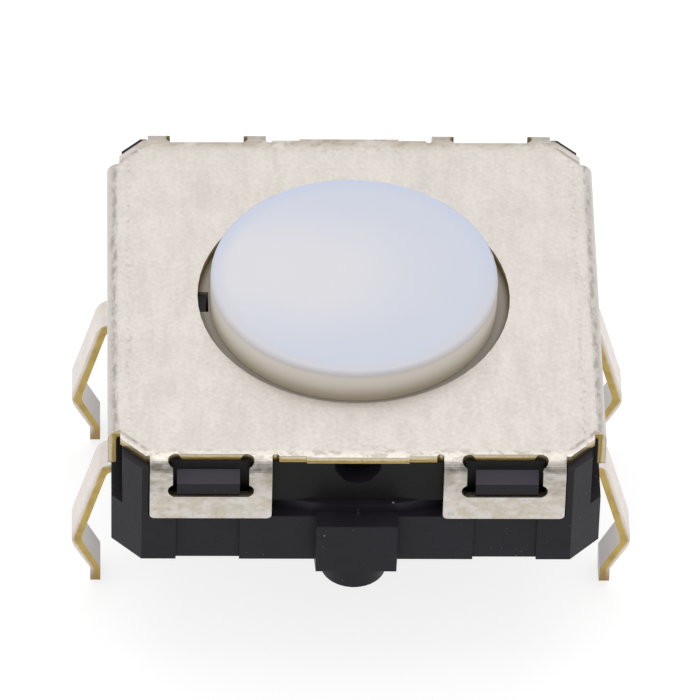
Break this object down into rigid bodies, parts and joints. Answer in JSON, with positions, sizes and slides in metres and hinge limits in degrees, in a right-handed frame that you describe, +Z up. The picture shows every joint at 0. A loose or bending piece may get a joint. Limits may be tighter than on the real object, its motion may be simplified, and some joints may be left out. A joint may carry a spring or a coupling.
{
  "type": "tactile push button switch",
  "caption": "Square through-hole tactile push button switch with a round button, a clipped-on sheet-metal cover and kinked snap-in legs.",
  "frame": {"origin": "centre of the footprint on the plane of the circuit board's top surface, where the housing's underside rests", "axes": "+Z up, away from the board and out of the button; +X to the right, out of the side that two legs leave; front is -Y, the side with a centre block and two snap frames"},
  "size_m": [0.0138, 0.0126, 0.0077],
  "materials": {
    "housing": "fine matt black moulding",
    "cover": "satin plated sheet, cut edges bare brass",
    "button": "smooth opal white",
    "dome": "bright spring steel",
    "terminals": "plated faces, cut edges bare brass"
  },
  "bodies": {
    "body": {"housing": "housing", "cover": "cover", "contact_dome": "dome", "front_terminal_strip": "terminals", "rear_terminal_strip": "terminals"},
    "plunger": {"button": "button"}
  },
  "joints": [
    {"name": "button_press", "type": "slide", "parent": "body", "child": "plunger", "axis": [0, 0, -1], "range_m": [0, 0.0003], "stiffness_N_per_m": 4000, "deforming": ["contact_dome"]}
  ]
}
